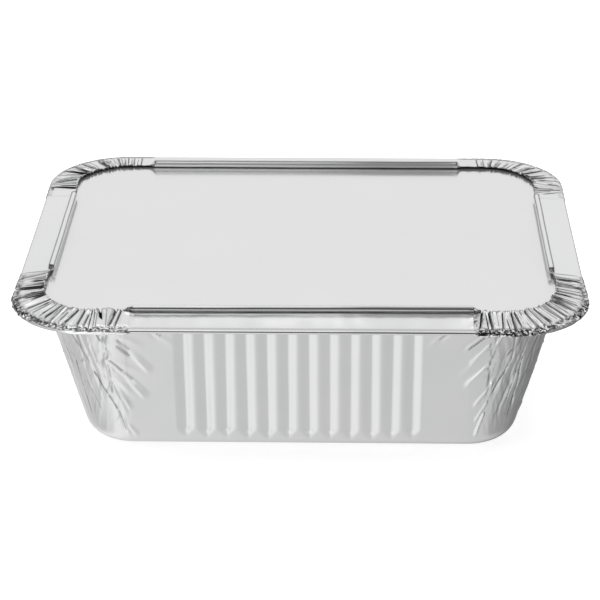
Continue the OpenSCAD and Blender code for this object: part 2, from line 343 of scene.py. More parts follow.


# the clear dark lines of the front corners' walls, shallow grooves with painted shade along them: (from, to, half
# width, strength),
# and their light streaks: (from, to, left flank, right flank, height), all from
# the corner's front end
WALL_LINES = {
    3: [((12.1, 35.6), (8.9, 27.1), 0.24, 0.6), ((13.7, 29.0), (13.8, 17.7), 0.22, 0.7), ((13.8, 17.7), (14.2, 9.2), 0.22, 0.7),
        ((8.5, 25.0), (5.4, 17.9), 0.24, 0.95), ((5.4, 17.9), (3.5, 13.2), 0.24, 0.9), ((5.6, 37.4), (4.8, 35.2), 0.28, 0.8),
        ((3.8, 29.6), (0.5, 25.7), 0.54, 0.55), ((1.7, 34.3), (-1.4, 30.8), 0.56, 0.48), ((1.6, 36.2), (-1.5, 32.9), 0.52, 0.4),
        ((0.6, 25.9), (-1.6, 23.6), 0.54, 0.28), ((10.6, 38.5), (10.2, 31.0), 0.22, 0.55), ((7.2, 33.5), (6.6, 27.5), 0.20, 0.4),
        ((11.4, 21.5), (9.0, 12.0), 0.20, 0.45), ((16.8, 36.0), (15.2, 24.0), 0.22, 0.5), ((3.4, 21.5), (2.2, 16.5), 0.22, 0.45),
        ((3.4, 13.2), (1.4, 6.5), 0.24, 0.5), ((-6.2, 40.0), (-9.6, 37.6), 0.3, 0.4)],
    0: [((-1.2, 33.8), (2.6, 38.2), 0.28, 0.8), ((8.5, 32.9), (7.7, 30.7), 0.26, 0.7), ((8.7, 28.1), (5.3, 19.2), 0.25, 0.9),
        ((12.4, 29.0), (13.0, 23.4), 0.26, 0.85), ((13.0, 23.4), (13.1, 12.8), 0.26, 0.85), ((13.1, 12.8), (13.1, 9.6), 0.22, 0.6),
        ((10.2, 38.0), (9.8, 33.0), 0.22, 0.5), ((15.6, 35.5), (14.4, 26.0), 0.22, 0.5), ((7.0, 24.5), (5.9, 19.5), 0.2, 0.5),
        ((9.4, 20.0), (7.4, 9.5), 0.22, 0.45), ((4.6, 33.5), (4.4, 30.6), 0.22, 0.5), ((-5.2, 40.0), (-8.8, 37.0), 0.3, 0.45)],
}
WALL_STREAKS = {
    3: [((0.4, 25.0), (-4.6, 17.2), (0.90, 2.00), 0.80, 0.62), ((2.8, 21.0), (-0.6, 13.4), (0.65, 1.20), 0.60, 0.46),
        ((-1.2, 32.6), (-6.2, 25.6), (1.00, 2.10), 0.90, 0.46), ((1.2, 9.2), (-1.8, 4.6), (0.70, 1.20), 0.40, 0.36)],
    0: [((3.3, 35.2), (-0.4, 28.8), (0.60, 1.15), 0.30, 0.40), ((4.0, 29.2), (-1.6, 21.4), (0.60, 1.25), 0.30, 0.44),
        ((5.2, 22.6), (1.0, 14.8), (0.62, 1.10), 0.30, 0.42), ((4.8, 16.8), (1.6, 9.8), (0.60, 0.95), 0.26, 0.38),
        ((4.2, 13.0), (2.2, 4.6), (0.75, 1.20), 0.30, 0.46), ((5.9, 38.0), (4.2, 33.2), (0.50, 0.70), 0.26, 0.34),
        ((9.8, 30.5), (7.0, 22.0), (0.45, 0.70), 0.22, 0.24), ((11.6, 25.0), (9.2, 12.0), (0.45, 0.80), 0.22, 0.24)],
}


def wall_height(side, straight, pos, z):
    """How far the wall stands out of its plain surface, for arrays of columns and
    heights, and how much painted shade its folds get."""
    d = np.zeros_like(z)
    painted_shade = np.zeros_like(z)
    # flutes pressed into the straight walls
    for s in range(4):
        here = straight & (side == s)
        if not here.any():
            continue
        x, zz = pos[here], z[here]
        best = np.zeros_like(x)
        for k, c in enumerate(flute_centres(s)):
            lean = 0.004 * math.sin(k * 2.3 + s) + (-0.016 + 0.0022 * k if s == 0 else 0)
            u = x - c - lean * (22 - zz)
            left = (2.35 + u) / 2.2
            right = (2.0 - u) / 1.86
            g = np.clip(np.minimum(left, right), 0, 1)
            # the crest beside a flute is softly rounded on its left, sharper on its right
            g = np.where(u < 0, g * smooth(g, -0.25, 0.32), g * smooth(g, -0.35, 0.16))
            zl = 4.6 + 0.5 * hash2(k, s, 5)
            g = np.maximum(0, g - (1 - np.clip((zz - zl) / 2.4, 0, 1)))
            g = g * smooth(zz, 39.2, 38.3)
            best = np.maximum(best, g)
        depth = FLUTE_H * (1 + 0.08 * noise2(x / 5.25, zz / 15, 9))
        d[here] -= depth * best
    # slack in the flat panels
    gx = np.where(straight, pos, 0) + side * 200.0
    d += 0.05 * noise2(gx / 9.0, z / 12.0, 3) * smooth(z, 5, 12) * (1 - smooth(z, 34, 40)) * straight
    # corners
    full = R_NOM * pi / 2
    for k in range(4):
        nxt = (k + 1) % 4
        half_a = WCX if k % 2 == 0 else WCY
        half_b = WCY if k % 2 == 0 else WCX
        w = np.full_like(z, 1e6)
        on = (side == k) & ~straight
        w[on] = pos[on] * R_NOM
        on = (side == k) & straight
        w[on] = pos[on] - half_a
        on = (side == nxt) & straight
        w[on] = full + pos[on] + half_b
        near = (w > -16) & (w < full + 16)
        x, zz = w[near] + FOLDS_OUT.get(k, 0.0), z[near]
        # pulls the coordinates about a little, so that no fold is ruler-straight
        xw = x + 0.35 * noise2(x / 3.1, zz / 4.2, 11 + k) + 0.12 * noise2(x / 0.9, zz / 1.1, 21 + k)
        zw = zz + 0.4 * noise2(x / 3.3, zz / 3.9, 31 + k)
        xs, zs = x + 0.3 * (xw - x), zz + 0.3 * (zw - zz)
        acc = np.zeros_like(x)
        extra = front_extra(k)
        plain = corner_creases(k)
        for p, q, h, a, b, tips in plain:
            if extra:
                # the clear folds of a front corner take the front end's place
                lo = min(p[0], q[0]) if k == 0 else full - max(p[0], q[0])
                if lo < 4.5:
                    continue
            tent, _ = crease(xw, zw, p, q, 0.8 * a, 0.85 * b, tips)
            acc += 0.95 * h * tent
        for p, q, h, a, b, tips in extra:
            tent, _ = crease(xw, zw, p, q, 0.85 * a, 0.85 * b, tips)
            acc += (0.6 if k == 3 else 0.95) * h * tent
        for p, q, left, right, h in WALL_STREAKS.get(k, []):
            if k == 3:
                acc += h * ridge(full - xs, zs, p, q, left, right, (0.45, 0.30))
            else:
                acc += h * ridge(xs, zs, p, q, left, right, (0.06, 0.22))
        shade = np.zeros_like(x)
        # each clear line is a shallow groove with painted shade along it
        for p, q, half, strength in WALL_LINES.get(k, []):
            if k == 3:
                p, q = (full - p[0], p[1]), (full - q[0], q[1])
            line, _ = crease(xs, zs, p, q, half, half, (0.10, 0.16))
            acc += -0.15 * strength * line
            shade = np.maximum(shade, strength * line)
        # crumpled seams at both ends of the corner, with painted dark specks of shade
        for end in (0, 1):
            wm = xw if end == 0 else full - xw
            line = 4.3 + 0.5 * noise2(zz / 2.2, 0.5 + end, 50 + k) + 0.25 * noise2(zz / 0.8, 0.5 + end, 51 + k)
            dist = wm - line
            band = np.clip(1 - np.abs(dist) / 1.5, 0, 1)
            fade = smooth(zz, 17, 22) * (1 - smooth(zz, 39.8, 41.2))
            acc += band * fade * (0.16 * facets2(x / 0.75, zz / 0.9, 60 + k * 2 + end) + 0.12 * facets2(x / 0.45, zz / 0.6, 70 + k))
            shade = np.maximum(shade, 0.6 * band * fade * np.clip(-0.2 - facets2(x / 0.5, zz / 1.2, 64 + k * 2 + end), 0, 1))
            acc += -0.16 * np.clip(1 - np.abs(dist) / 0.55, 0, 1) * fade
        # fine hatching of the rounded part
        mid = smooth(x, 4, 8) * (1 - smooth(x, full - 8, full - 4))
        skew = np.where(x < full / 2, 1, -1) * 0.32
        acc += 0.05 * facets2((xw - skew * (41 - zw)) / 0.85, zz / 6.5, 80 + k) * mid * smooth(zz, 3, 9)
        acc += 0.06 * facets2((xw - skew * (41 - zw)) / 2.1, zz / 9.0, 84 + k) * (0.35 + 0.65 * mid) * smooth(x, -3, 4) * (1 - smooth(x, full - 4, full + 3)) * smooth(zz, 3, 9)
        ends = smooth(zz, 2.4, 6.5) * (1 - 0.75 * smooth(zz, 39.6, 41.2))
        d[near] += acc * ends
        # thin hatching lines, painted as shade only
        fine = np.clip(-0.62 - facets2((xw - skew * (41 - zw)) / 0.55, zz / 5.5, 88 + k), 0, 1) * 1.6
        shade = np.maximum(shade, 0.5 * fine * smooth(x, 1, 6) * (1 - smooth(x, full - 6, full - 1)) * smooth(zz, 4, 12))
        painted_shade[near] = np.maximum(painted_shade[near], shade * ends)
    return d, painted_shade


def build_body():
    rows = []
    zs = prof[:, 1]
    n_rows = len(prof)
    side = np.repeat(c_side[None], n_rows, 0)
    straight = np.repeat(c_straight[None], n_rows, 0)
    pos = np.repeat(c_pos[None], n_rows, 0)
    z = np.repeat(zs[:, None], NC, 1)
    d, painted_shade = wall_height(side.ravel(), straight.ravel(), pos.ravel(), z.ravel() + FOLDS_UP)
    d, painted_shade = d.reshape(z.shape), painted_shade.reshape(z.shape)
    # the wall leans, so standing out of it also goes down
    lean = np.repeat(np.clip((zs - 0.5) / 4, 0, 1)[:, None], NC, 1)
    rho = prof[:, 0][:, None] + d * math.cos(TAPER)
    zz = z - d * math.sin(TAPER) * lean
    m = np.empty((n_rows, NC, 3))
    m[..., 0] = c_xy[:, 0] + rho * c_n[:, 0]
    m[..., 1] = c_xy[:, 1] + rho * c_n[:, 1]
    m[..., 2] = zz
    # the base closes in scaled loops
    loop = m[0].copy()
    for k in (0.985, 0.95, 0.85, 0.65, 0.4, 0.15):
        r = loop.copy()
        r[:, :2] *= k
        r[:, 2] = T / 2 + 0.04 * (1 + noise2(r[:, 0] / 14, r[:, 1] / 14, 91)) * (1 - k)
        rows.insert(0, r)
    rows += list(m)
    # the ledge runs out to the rim's outline
    last = m[-1]
    corner_c = np.sign(c_xy) * np.array([RCX, RCY])
    goal = np.empty((NC, 2))
    for s in range(4):
        on = (c_side == s) & c_straight
        half_w = WCX if s % 2 == 0 else WCY
        half_r = RCX if s % 2 == 0 else RCY
        along = c_pos[on] * half_r / half_w
        out = (D / 2 if s % 2 == 0 else W / 2) - PLATE_IN
        turn = s * pi / 2
        goal[on, 0] = math.cos(turn) * along + math.sin(turn) * out
        goal[on, 1] = math.sin(turn) * along - math.cos(turn) * out
    on = ~c_straight
    goal[on] = corner_c[on] + (RIM_R - PLATE_IN) * c_n[on]
    for k in (0.3, 0.65, 1.0):
        r = np.empty((NC, 3))
        r[:, :2] = last[:, :2] * (1 - k) + goal * k
        r[:, 2] = LEDGE_M
        rows.append(r)
    m = np.array(rows)
    n_base = 6
    # creases spread a little on to the ledge near the walls' corners
    a0, a1 = len(m) - 3, len(m) - 2
    for r in (a0, a1):
        amp = 0.10 if r == a0 else 0.05
        m[r, :, 2] -= amp * (1 + facets2(np.arange(NC) / 3.0, r * 1.0, 95)) * (~c_straight)
    n = grid_normals(m)
    outer = m + n * T / 2
    # the inner side has a quarter of the rows, and stays behind the folds of the outer one
    keep = list(range(0, len(m) - 1, 4))
    if keep[-1] != len(m) - 1:
        keep.append(len(m) - 1)
    inner = m - n * T / 2
    wall_lo, wall_hi = n_base + first_wall, n_base + last_wall
    out_d = np.zeros((len(m), NC))
    out_d[n_base:n_base + n_rows] = d
    low = out_d.copy()
    for r in range(len(m)):
        low[r] = out_d[max(0, r - 4):r + 5].min(0)
    extra = (out_d - low)
    pull = np.zeros_like(m)
    pull[..., 0] = -c_n[:, 0] * math.cos(TAPER)
    pull[..., 1] = -c_n[:, 1] * math.cos(TAPER)
    pull[..., 2] = math.sin(TAPER)
    inner = inner + pull * extra[..., None] * 1.0
    inner = inner[keep]
    ro, ri = len(outer), len(inner)
    verts = np.concatenate([outer.reshape(-1, 3), inner.reshape(-1, 3)])
    faces = ring_faces(ro, NC, 0, False).tolist()
    faces += ring_faces(ri, NC, ro * NC, True).tolist()
    # free edge at the rim, and the middles of the base
    a = (ro - 1) * NC + np.arange(NC)
    b = (ro - 1) * NC + (np.arange(NC) + 1) % NC
    c = ro * NC + (ri - 1) * NC + (np.arange(NC) + 1) % NC
    e = ro * NC + (ri - 1) * NC + np.arange(NC)
    faces += np.stack([a, b, c, e], -1).tolist()
    faces.append(list(range(NC))[::-1])
    faces.append([ro * NC + k for k in range(NC)])
    shade = np.zeros((ro + ri, NC))
    shade[n_base:n_base + n_rows] = painted_shade
    return new_object("foil_tray_body", verts, faces, smooth_angle=50, painted_shade=shade.ravel())


# ---------------------------------------------------------------------------
# The folded rim: flat along the sides with a rolled bead, pleated at corners
# ---------------------------------------------------------------------------
R_MID = 5.0  # distance in from the outer edge at which lengths along the rim count
ARC = (RIM_R - R_MID) * pi / 2
LEN = [2 * RCX, 2 * RCY, 2 * RCX, 2 * RCY]
START = [0.0]
for k in range(4):
    START.append(START[-1] + LEN[k] + ARC)
TOTAL = START[4]


def rim_point(s, r):
    """(x, y) at the length s along the rim and r in from its outer edge. s = 0 is the front side's left end."""
    s = np.mod(s, TOTAL)
    x = np.empty_like(s)
    y = np.empty_like(s)
    for k in range(4):
        on = (s >= START[k]) & (s < START[k + 1])
        ds = s[on] - START[k]
        hx = RCX if k % 2 == 0 else RCY
        hy = RCY if k % 2 == 0 else RCX
        rr = r[on]
        flat = ds < LEN[k]
        ang = np.clip((ds - LEN[k]) / (RIM_R - R_MID), 0, None)
        lx = np.where(flat, ds - hx, hx + (RIM_R - rr) * np.sin(ang))
        ly = np.where(flat, -hy - (RIM_R - rr), -hy - (RIM_R - rr) * np.cos(ang))
        turn = k * pi / 2
        x[on] = math.cos(turn) * lx - math.sin(turn) * ly
        y[on] = math.sin(turn) * lx + math.cos(turn) * ly
    return x, y


# where the bead ends along each side seen from outside, and over what length
# its two ends are pinched flat
SIDES = {
    0: (-40.8, 43.0, 2.9, 2.0),   # front, X
    1: (-24.3, 26.6, 0.8, 1.4),   # right, Y
    2: (-43.4, 43.7, 1.2, 1.6),   # back, -X
    3: (-26.6, 24.3, 1.4, 0.8),   # left, -Y
}
BEAD_R = 0.90 - T / 2
BEAD_Z = {0: (43.82, 44.18), 1: (43.09, 42.79), 2: (42.76, 42.66), 3: (42.79, 43.09)}

# The clear creases of each corner's pleats: s at the outer end, r there, s at
# the inner end, r there, and how strong, which sets their depth, width and painted shade. s is the length along the
# rim from where the corner's arc starts (front right, back right, back left, front left).
CREASES = {
    0: [(-6.9, 1.6, -6.1, 8.2, 2), (-4.9, 1.2, -5.4, 6.0, 2), (-3.8, 1.4, -4.6, 8.6, 3), (-1.2, 1.5, -1.2, 8.6, 2),
        (0.3, 1.1, -0.5, 4.4, 2), (1.5, 0.8, 1.2, 8.6, 2), (3.0, 1.7, 2.2, 8.6, 2), (4.6, 1.5, 3.8, 8.6, 1),
        (6.2, 1.0, 5.6, 8.6, 3), (7.8, 1.4, 7.2, 8.6, 2), (9.5, 2.0, 9.1, 9.2, 4), (12.5, 1.2, 12.7, 8.9, 2),
        (14.0, 1.6, 15.0, 8.9, 3), (15.4, 2.0, 17.4, 9.1, 2), (17.4, 1.7, 19.4, 8.8, 1), (19.8, 2.2, 21.4, 8.8, 4),
        (23.2, 1.9, 24.4, 8.8, 1), (25.2, 1.4, 26.0, 8.8, 2), (27.1, 0.9, 27.6, 8.6, 1), (29.4, 0.6, 29.7, 8.6, 3),
        (31.0, 3.0, 31.6, 8.8, 3), (33.8, 0.5, 33.9, 8.4, 2), (35.0, 0.4, 35.9, 8.2, 2)],
    1: [(-5.6, 0.5, -7.3, 4.5, 1), (-3.9, 0.2, -5.5, 8.9, 4), (-0.9, 0.7, -0.2, 2.9, 2), (2.2, 0.7, 2.2, 5.2, 2),
        (4.5, 1.3, 5.3, 8.9, 3), (9.3, 1.6, 9.3, 8.9, 4), (11.8, 1.3, 11.6, 8.9, 4), (15.7, 0.9, 15.6, 8.9, 4),
        (17.2, 1.3, 17.6, 8.6, 1), (21.6, 1.1, 22.0, 8.6, 1), (23.3, 1.6, 23.4, 8.6, 2), (27.4, 1.6, 27.2, 8.6, 1)],
    2: [(-3.3, 1.5, -3.5, 8.6, 1), (0.6, 1.5, 0.2, 8.6, 1), (3.2, 1.6, 3.0, 8.6, 2), (7.8, 1.2, 7.8, 8.9, 3),
        (12.4, 1.0, 12.5, 8.9, 3), (14.7, 1.2, 15.9, 8.9, 3), (18.2, 0.7, 18.1, 8.6, 3), (21.0, 0.7, 20.6, 7.4, 1),
        (25.5, 1.5, 22.8, 8.6, 4), (28.5, 0.3, 31.1, 8.2, 3)],
    3: [(-9.2, 0.6, -11.3, 7.6, 2), (-6.3, 3.8, -5.9, 8.4, 3), (-2.9, 0.9, -2.6, 8.6, 2), (-1.5, 1.2, -1.1, 8.8, 2),
        (2.9, 1.4, 2.1, 8.6, 4), (3.6, 3.0, 3.0, 8.0, 3), (5.2, 4.5, 4.2, 8.6, 2), (8.8, 1.7, 8.2, 8.6, 3), (11.2, 2.0, 10.5, 8.8, 2),
        (13.4, 1.9, 12.4, 8.8, 2), (15.0, 2.0, 14.7, 9.0, 3), (16.8, 1.4, 16.2, 9.0, 3), (18.6, 2.0, 18.9, 5.5, 1),
        (20.0, 1.8, 21.4, 8.8, 3), (22.9, 1.1, 23.5, 8.8, 2), (24.3, 1.8, 24.9, 6.3, 2), (25.4, 1.5, 25.6, 8.8, 2),
        (26.4, 1.4, 26.1, 8.8, 1), (27.0, 2.1, 26.7, 9.0, 2), (28.0, 5.2, 27.4, 9.2, 4), (29.5, 1.6, 29.2, 9.2, 1),
        (30.1, 2.0, 31.4, 8.6, 3), (31.7, 1.6, 32.8, 8.0, 2)],
}


# the pleats' inner edge: how far in from the outer edge it lies, along each corner
INNER_EDGE = {
    0: ([-8, 0, 10, 20, 24, 28, 34, 37], [8.3, 8.4, 9.1, 8.6, 8.1, 7.4, 7.0, 7.4]),
    1: ([-8, -5, 0, 5, 12, 20, 30], [7.8, 7.8, 7.8, 8.2, 8.6, 8.4, 8.2]),
    2: ([-6, 0, 8, 16, 20, 26, 32], [8.2, 8.4, 8.8, 8.6, 8.0, 7.8, 7.8]),
    3: ([-12, -6, -2, 2, 5, 9, 15, 22, 26, 30, 33], [7.4, 7.3, 7.5, 7.8, 8.3, 8.8, 9.0, 8.6, 8.9, 9.1, 8.4]),
}


def side_s(k, pos):
    return START[k] + pos + LEN[k] / 2


def rim_columns():
    """One row per column: s at r = 9, s at r = 1, height, crease depth, r where the crease
    starts, r where it ends, the inner edge's shift and its lift, whether it is in a corner, and how much painted shade
    it gets."""
    rng = np.random.RandomState(7)
    out = []
    for k in range(4):
        bl, br, _, _ = SIDES[k]
        nxt = (k + 1) % 4
        for x in np.linspace(bl, br, int((br - bl) / 1.2) + 2):
            out.append([side_s(k, x)] * 2 + [0, 0, 1, 9, 0, 0, 0, 0])
        arc0 = START[k] + LEN[k]
        s0 = side_s(k, br)
        s1 = START[k + 1] + SIDES[nxt][0] + LEN[nxt] / 2
        lines = []
        for so, ro, si, ri, w in CREASES[k]:
            b = (si - so) / (ri - ro)
            lines.append([arc0 + si + b * (9 - ri), arc0 + so - b * (ro - 1), ro, 10 if ri > 8 else ri, w])
        lines.sort(key=lambda q: q[0] + q[1])
        # faint creases fill the wide gaps
        full = []
        for i, q in enumerate(lines):
            full.append(q)
            if i + 1 < len(lines):
                w = lines[i + 1]
                gap = (w[0] + w[1] - q[0] - q[1]) / 2
                n = int((gap - 0.5) / 1.05)
                for j in range(n):
                    f = (j + 1 + rng.uniform(-0.25, 0.25)) / (n + 1)
                    full.append([
                        q[0] + (w[0] - q[0]) * f + rng.uniform(-0.12, 0.12),
                        q[1] + (w[1] - q[1]) * f + rng.uniform(-0.12, 0.12),
                        rng.uniform(1, 4.5), rng.choice([6.5, 10, 10]), rng.uniform(0.35, 0.8)])
        for i in range(1, len(full)):
            for e in (0, 1):
                full[i][e] = max(full[i][e], full[i - 1][e] + 0.52)
        n = len(full)
        size = np.array([q[4] for q in full])
        half = np.interp(size, [0.3, 1, 2, 3, 4], [0.12, 0.19, 0.29, 0.38, 0.50])
        deep = np.interp(size, [0.3, 1, 2, 3, 4], [0.09, 0.26, 0.50, 0.70, 0.92])
        # how much painted shade each crease gets in its bottom, and on its flanks
        dark = np.interp(size, [0.3, 1, 2, 3, 4], [0.28, 0.72, 0.95, 1.0, 1.0])
        flank_shade = np.interp(size, [0.3, 1, 2, 3, 4], [0.02, 0.16, 0.34, 0.52, 0.68])
        for i in range(n - 1):
            room = 0.86 * min(full[i + 1][0] - full[i][0], full[i + 1][1] - full[i][1])
            if half[i] + half[i + 1] > room:
                weak, strong = (i, i + 1) if size[i] < size[i + 1] else (i + 1, i)
                half[weak] = min(half[weak], max(0.09, room - half[strong]))
            if half[i] + half[i + 1] > room:
                share = room / (half[i] + half[i + 1])
                half[i] *= share
                half[i + 1] *= share
        # the lit facets between creases: heights of their two ends at the inner edge
        tilt = rng.normal(0, 0.07, n + 1) + np.where(rng.rand(n + 1) < 0.18, rng.choice([-0.26, 0.26], n + 1), 0)
        lift = rng.uniform(-0.06, 0.16, n + 1)
        # the long flank of every crease faces the camera's side
        skew = 1 if k in (2, 3) else -1
        # before the first crease and after the last, the flange runs out flat
        first, last = full[0], full[-1]
        run = [s0 + 0.12, s0 + 0.3, s0 + 0.6, s0 + 1.0]
        edge = min(first[0], first[1]) - 0.5
        run = [q for q in run if q < edge - 0.3]
        for q in run + list(np.linspace(run[-1], edge, int((edge - run[-1]) / 0.7) + 2)[1:]):
            out.append([q, q, 0, 0, 1, 9, rng.uniform(-0.12, 0.12), rng.uniform(-0.1, 0.1), 1, 0])
        for i, (q9, q1, ro, ri, w) in enumerate(full):
            hl = lift[i] + (tilt[i] if i else 0)
            hr = lift[i + 1] - tilt[i + 1] if i + 1 < n else 0
            h = half[i]
            jag = rng.uniform(-0.10, 0.22)
            tooth = rng.uniform(-0.30, -0.02)
            # painted shade on the two flanks beside the crease, more on its long flank
            side_l, side_r = (flank_shade[i], 0.3 * flank_shade[i]) if skew < 0 else (0.3 * flank_shade[i], flank_shade[i])
            out.append([q9 - h, q1 - h, hl, 0, ro, ri, -0.05, 0.05, 1, side_r])
            out.append([q9 + 0.55 * skew * h, q1 + 0.55 * skew * h, min(hl, hr), deep[i], ro, ri, -jag - 0.12, tooth, 1, dark[i]])
            out.append([q9 + h, q1 + h, hr, 0, ro, ri, -0.05, 0.08, 1, side_l])
            if i + 1 < n:
                w9, w1 = full[i + 1][:2]
                h2 = half[i + 1]
                nl = lift[i + 1] + tilt[i + 1]
                gap = min(w9 - h2 - q9 - h, w1 - h2 - q1 - h)
                parts = 1 if gap < 0.45 else (2 if gap < 0.9 else 3)
                top = rng.uniform(-0.04, 0.10)
                for j in range(1, parts + 1):
                    f = j / (parts + 1)
                    out.append([
                        q9 + h + (w9 - h2 - q9 - h) * f, q1 + h + (w1 - h2 - q1 - h) * f,
                        hr + (nl - hr) * f + top * math.sin(pi * f), 0, 1, 9,
                        rng.uniform(-0.16, 0.24), rng.uniform(-0.12, 0.26), 1, 0])
        edge = max(last[0], last[1]) + 0.5
        run = [s1 - 1.0, s1 - 0.6, s1 - 0.3, s1 - 0.12]
        run = [q for q in run if q > edge + 0.3]
        for q in list(np.linspace(edge, run[0], int((run[0] - edge) / 0.7) + 2)[:-1]) + run:
            out.append([q, q, 0, 0, 1, 9, rng.uniform(-0.12, 0.12), rng.uniform(-0.1, 0.1), 1, 0])
    return np.array(out)


def build_rim():
    rc = rim_columns()
    n = len(rc)
    s9, s1, high, deep, r_on, r_off, jag, tooth, corner, dark = rc.T
    mid = (s9 + s1) / 2
    gaps = np.minimum(np.diff(s9), np.diff(s1))
    assert gaps.min() > 0.01, (gaps.min(), int(np.argmin(gaps)))
    # the bead's height, and how far this column lies past the end of its bead
    knots_s, knots_z = [], []
    for k in range(4):
        knots_s += [side_s(k, SIDES[k][0]), side_s(k, SIDES[k][1])]
        knots_z += [BEAD_Z[k][0], BEAD_Z[k][1]]
    knots_s = np.array(knots_s)
    order = np.argsort(knots_s)
    ks = np.concatenate([knots_s[order] - TOTAL, knots_s[order], knots_s[order] + TOTAL])
    kz = np.tile(np.array(knots_z)[order], 3)
    zc = np.interp(mid, ks, kz)
    past = np.full(n, 1e3)
    pinch = np.ones(n)
    for k in range(4):
        a, b = side_s(k, SIDES[k][0]), side_s(k, SIDES[k][1])
        for shift in (-TOTAL, 0, TOTAL):
            q = mid + shift
            for gone, length in ((a - q, SIDES[k][2]), (q - b, SIDES[k][3])):
                here = (np.maximum(a - q, q - b) == gone) & (gone < past)
                past = np.where(here, gone, past)
                pinch = np.where(here, length, pinch)
    flat_by = np.clip(past / pinch, 0, 1)
    crush = 0.35 * flat_by + 0.65 * smooth(flat_by, 0, 1)
    pleat = corner * smooth(past, 0.1, 1.6)
    x_mid, y_mid = rim_point(mid, np.full(n, 4.0))
    front = smooth(-y_mid, 20, 45)
    # puffed folds: from their high edge to their low one, and how high
    for k, s_hi, s_lo, lift in ((3, -9.4, -6.8, 0.5), (3, -5.2, -3.2, 0.40), (0, 20.2, 17.2, 0.55), (0, 34.4, 32.2, 0.50), (2, 24.6, 22.0, 0.5), (1, -3.4, -1.2, 0.45)):
        rel = np.mod(mid - (START[k] + LEN[k]) + TOTAL / 2, TOTAL) - TOTAL / 2
        u = (rel - s_hi) / (s_lo - s_hi)
        high = high + lift * np.where(u > 0, np.clip(1 - u, 0, 1), np.clip(1 + u / 0.14, 0, 1)) * (np.abs(rel) < 45)
    fold_r = (FOLD_M - LEDGE_M) / 2
    swell = pleat * (0.10 + 0.32 * smooth(-y_mid, 49, 56))
    rows, shades, speckle_shades = [], [], []
    idx = np.arange(n)
    zero = np.zeros(n)

    def put(r, z, shift=0.0, painted_shade=0.0, crimped=0.0):
        shades.append(np.zeros(n) + painted_shade)
        speckle_shades.append(np.zeros(n) + crimped)
        t = (np.clip(r, 0.5, 9.3) - 1) / 8
        x, y = rim_point(s1 + (s9 - s1) * t + shift, r)
        rows.append(np.stack([x, y, z], -1))

    # under the ledge's edge
    put(zero + 1.7, zero + LEDGE_M)
    put(zero + 1.1, zero + LEDGE_M)
    # round the outer edge, crumpled in the corners
    hem = pleat * (0.30 + 0.70 * front)
    fr = fold_r + 0.20 * hem
    zmid = LEDGE_M + fold_r
    # below the crimps of the two front corners' inner halves the hem is smooth
    rel3 = np.mod(mid - (START[3] + LEN[3]) + TOTAL / 2, TOTAL) - TOTAL / 2
    rel0 = np.mod(mid - (START[0] + LEN[0]) + TOTAL / 2, TOTAL) - TOTAL / 2
    plain_hem = pleat * np.maximum(smooth(rel3, 8, 13) * (rel3 < ARC + 14), smooth(rel0, 5, 8) * (1 - smooth(rel0, 15, 18)))
    n_fold = 8
    for k in range(n_fold):
        a = -pi / 2 - pi * k / (n_fold - 1)
        lim = 1.0 if 0 < k < n_fold - 1 else 0.3
        if 1 <= k <= 4:
            lim = lim * (1 - 0.85 * plain_hem)
        rough = 0.22 * facets2(mid / 0.6, np.full(n, k / 1.6), 12) + 0.13 * hash2(idx, k, 13)
        up = 0.20 * facets2(mid / 0.7, np.full(n, k / 1.3), 14) + 0.10 * hash2(idx, k, 15)
        r = fold_r + T / 2 - swell * (1 if k else 0.3) + fr * math.cos(a) - 0.5 * hem * max(0, -math.cos(a)) * 0.25 + hem * rough * lim
        z = zmid + fold_r * math.sin(a) + hem * up * lim - 0.16 * hem * max(0, -math.cos(a))
        if 1 <= k <= 6:
            r = r + plain_hem * (T / 2 - 0.52 + 0.014 * (k - 1) + 0.05 * facets2(mid / 1.3, np.full(n, k / 2.5), 44) - r)
            z = z + plain_hem * (zmid - 0.38 + 0.155 * (k - 1) - z)
        # painted shade in spots on the hem's upper rows; the last value marks where painted dark specks go
        spots = np.clip(1.9 * facets2(mid / 0.85 + 0.4 * k, np.full(n, k / 1.7), 18) - 0.15, 0, 1)
        put(np.maximum(r, T / 2 - 0.62), z, 0.08 * hem * hash2(idx, k, 16) * lim, 0.7 * hem * spots * (0 if k < 5 else 1), hem * ((0, 0, 0.5, 0.7, 0.9, 1, 1, 1)[k]) * (1 - plain_hem * (0.97 if k < 6 else 0.2)))
    z_edge = zmid + fold_r
    # the flange, from the outer edge to the bead or the pleats' inner edge; the
    # back bead is a little taller than it is wide and nearly rests on the lid
    oval = 0.17 * (1 - crush) * (y_mid > 40)
    z_in = zc - BEAD_R - 2 * oval
    gather = np.zeros(n)
    for end, reach in ((side_s(0, SIDES[0][0]), 6.5), (side_s(0, SIDES[0][1]), 4.5)):
        gather = np.maximum(gather, np.clip(1 - np.abs(mid - end) / reach, 0, 1) ** 0.7 * (past > 0))
    inner_r = np.full(n, 8.4)
    for k in range(4):
        s_rel = np.mod(mid - (START[k] + LEN[k]) + TOTAL / 2, TOTAL) - TOTAL / 2
        here = (s_rel > -14) & (s_rel < ARC + 14)
        at, r_at = INNER_EDGE[k]
        inner_r = np.where(here, np.interp(s_rel, at, r_at), inner_r)
    r_end = 8.0 * (1 - crush) + (inner_r + jag) * crush
    r_start = fold_r + 0.25 - swell
    wavy = 0.5 + 0.5 * smooth(-y_mid, 49, 54)
    wave = wavy * (0.075 * noise2(mid / 1.7, 0.5, 33) + 0.075 * noise2(mid / 4.5, 0.5, 34))
    last_z = None
